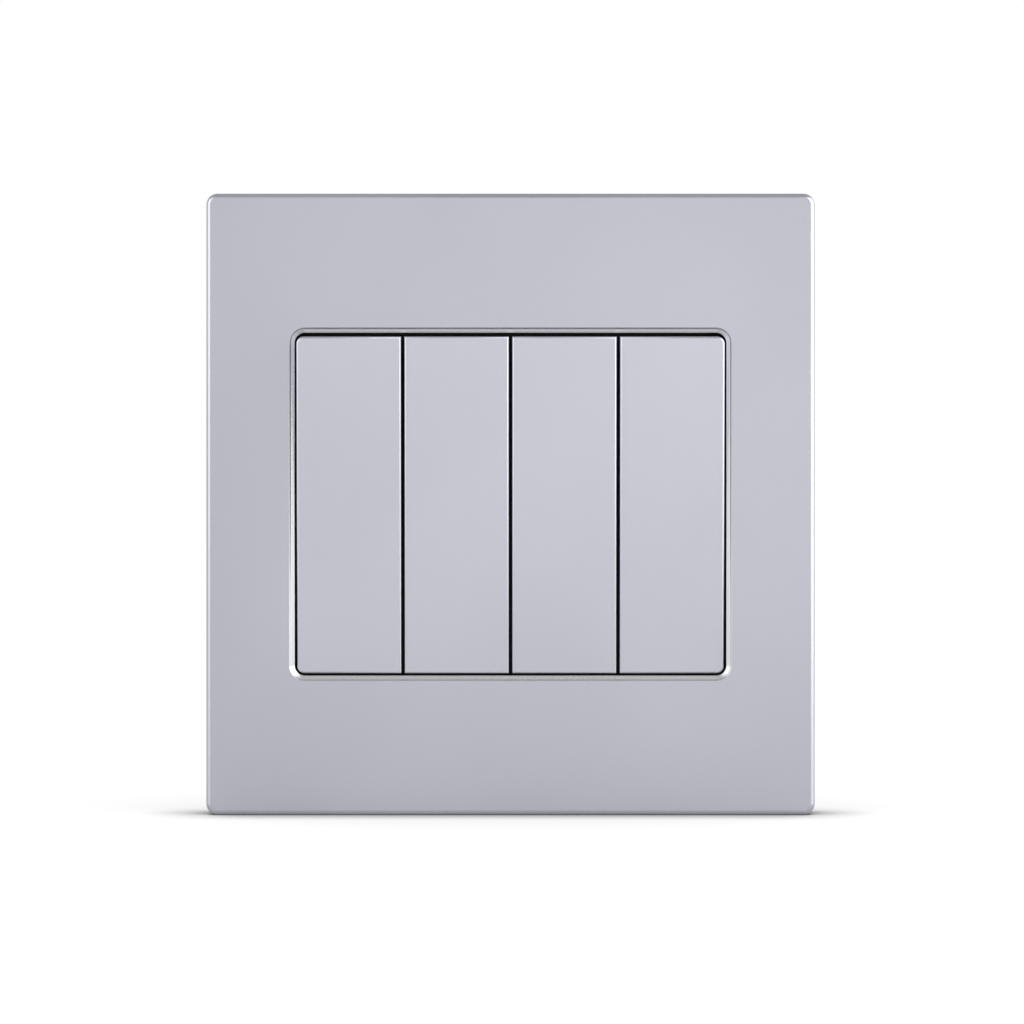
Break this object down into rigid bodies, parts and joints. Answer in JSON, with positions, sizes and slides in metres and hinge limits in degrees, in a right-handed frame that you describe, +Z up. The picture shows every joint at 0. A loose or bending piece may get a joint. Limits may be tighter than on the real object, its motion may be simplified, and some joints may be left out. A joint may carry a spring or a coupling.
{
  "type": "light switch",
  "caption": "Wall light switch: a silver square plate with tall narrow rocker keys side by side in a rimmed window, over a screw-terminal mechanism.",
  "frame": {"origin": "midway between the two wall fixing holes, on the plane of the wall", "axes": "+X to the right as seen from the room, +Y into the wall, +Z up"},
  "size_m": [0.086, 0.0316, 0.0878],
  "materials": {
    "silver_paint": "satin silver paint on moulded plastic",
    "frame_plastic": "black moulded plastic",
    "cover_plastic": "deep black moulded plastic",
    "base_plastic": "dark grey heat-proof moulding",
    "dolly_plastic": "natural white bearing plastic",
    "plunger_plastic": "natural nylon",
    "brass": "rolled brass",
    "plated_steel": "zinc-plated steel",
    "spring_steel": "drawn spring steel"
  },
  "bodies": {
    "housing": {"front_plate": "silver_paint", "support_frame": "frame_plastic", "mechanism_cover": "cover_plastic", "mechanism_base": "base_plastic", "common_terminal_1": "brass", "switched_terminal_1": "brass", "common_terminal_2": "brass", "switched_terminal_2": "brass", "common_terminal_3": "brass", "switched_terminal_3": "brass", "common_terminal_4": "brass", "switched_terminal_4": "brass", "terminal_screws": "plated_steel", "assembly_screws": "plated_steel"},
    "key_1": {"rocker_1": "silver_paint", "dolly_1": "dolly_plastic", "plunger_spring_1": "spring_steel"},
    "pin_1": {"plunger_1": "plunger_plastic"},
    "blade_1": {"contact_blade_1": "brass"},
    "key_2": {"rocker_2": "silver_paint", "dolly_2": "dolly_plastic", "plunger_spring_2": "spring_steel"},
    "pin_2": {"plunger_2": "plunger_plastic"},
    "blade_2": {"contact_blade_2": "brass"},
    "key_3": {"rocker_3": "silver_paint", "dolly_3": "dolly_plastic", "plunger_spring_3": "spring_steel"},
    "pin_3": {"plunger_3": "plunger_plastic"},
    "blade_3": {"contact_blade_3": "brass"},
    "key_4": {"rocker_4": "silver_paint", "dolly_4": "dolly_plastic", "plunger_spring_4": "spring_steel"},
    "pin_4": {"plunger_4": "plunger_plastic"},
    "blade_4": {"contact_blade_4": "brass"}
  },
  "joints": [
    {"name": "rocker_1_tilt", "type": "hinge", "parent": "housing", "child": "key_1", "pos_m": [-0.0228, -0.0055, 0], "axis": [-1, 0, 0], "range_deg": [0, 6]},
    {"name": "plunger_1_slide", "type": "slide", "parent": "key_1", "child": "pin_1", "axis": [0, -0.9986, -0.0523], "range_m": [0, 0.0005], "stiffness_N_per_m": 300, "springref_m": -0.003, "deforming": ["plunger_spring_1"]},
    {"name": "contact_blade_1_tilt", "type": "hinge", "parent": "housing", "child": "blade_1", "pos_m": [-0.0228, 0.0096, 0], "axis": [1, 0, 0], "range_deg": [0, 16]},
    {"name": "rocker_2_tilt", "type": "hinge", "parent": "housing", "child": "key_2", "pos_m": [-0.0076, -0.0055, 0], "axis": [-1, 0, 0], "range_deg": [0, 6]},
    {"name": "plunger_2_slide", "type": "slide", "parent": "key_2", "child": "pin_2", "axis": [0, -0.9986, -0.0523], "range_m": [0, 0.0005], "stiffness_N_per_m": 300, "springref_m": -0.003, "deforming": ["plunger_spring_2"]},
    {"name": "contact_blade_2_tilt", "type": "hinge", "parent": "housing", "child": "blade_2", "pos_m": [-0.0076, 0.0096, 0], "axis": [1, 0, 0], "range_deg": [0, 16]},
    {"name": "rocker_3_tilt", "type": "hinge", "parent": "housing", "child": "key_3", "pos_m": [0.0076, -0.0055, 0], "axis": [-1, 0, 0], "range_deg": [0, 6]},
    {"name": "plunger_3_slide", "type": "slide", "parent": "key_3", "child": "pin_3", "axis": [0, -0.9986, -0.0523], "range_m": [0, 0.0005], "stiffness_N_per_m": 300, "springref_m": -0.003, "deforming": ["plunger_spring_3"]},
    {"name": "contact_blade_3_tilt", "type": "hinge", "parent": "housing", "child": "blade_3", "pos_m": [0.0076, 0.0096, 0], "axis": [1, 0, 0], "range_deg": [0, 16]},
    {"name": "rocker_4_tilt", "type": "hinge", "parent": "housing", "child": "key_4", "pos_m": [0.0228, -0.0055, 0], "axis": [-1, 0, 0], "range_deg": [0, 6]},
    {"name": "plunger_4_slide", "type": "slide", "parent": "key_4", "child": "pin_4", "axis": [0, -0.9986, -0.0523], "range_m": [0, 0.0005], "stiffness_N_per_m": 300, "springref_m": -0.003, "deforming": ["plunger_spring_4"]},
    {"name": "contact_blade_4_tilt", "type": "hinge", "parent": "housing", "child": "blade_4", "pos_m": [0.0228, 0.0096, 0], "axis": [1, 0, 0], "range_deg": [0, 16]}
  ],
  "couplings": [
    {"joint": "contact_blade_1_tilt", "follows": "rocker_1_tilt", "ratio": 2.6667},
    {"joint": "contact_blade_2_tilt", "follows": "rocker_2_tilt", "ratio": 2.6667},
    {"joint": "contact_blade_3_tilt", "follows": "rocker_3_tilt", "ratio": 2.6667},
    {"joint": "contact_blade_4_tilt", "follows": "rocker_4_tilt", "ratio": 2.6667}
  ]
}
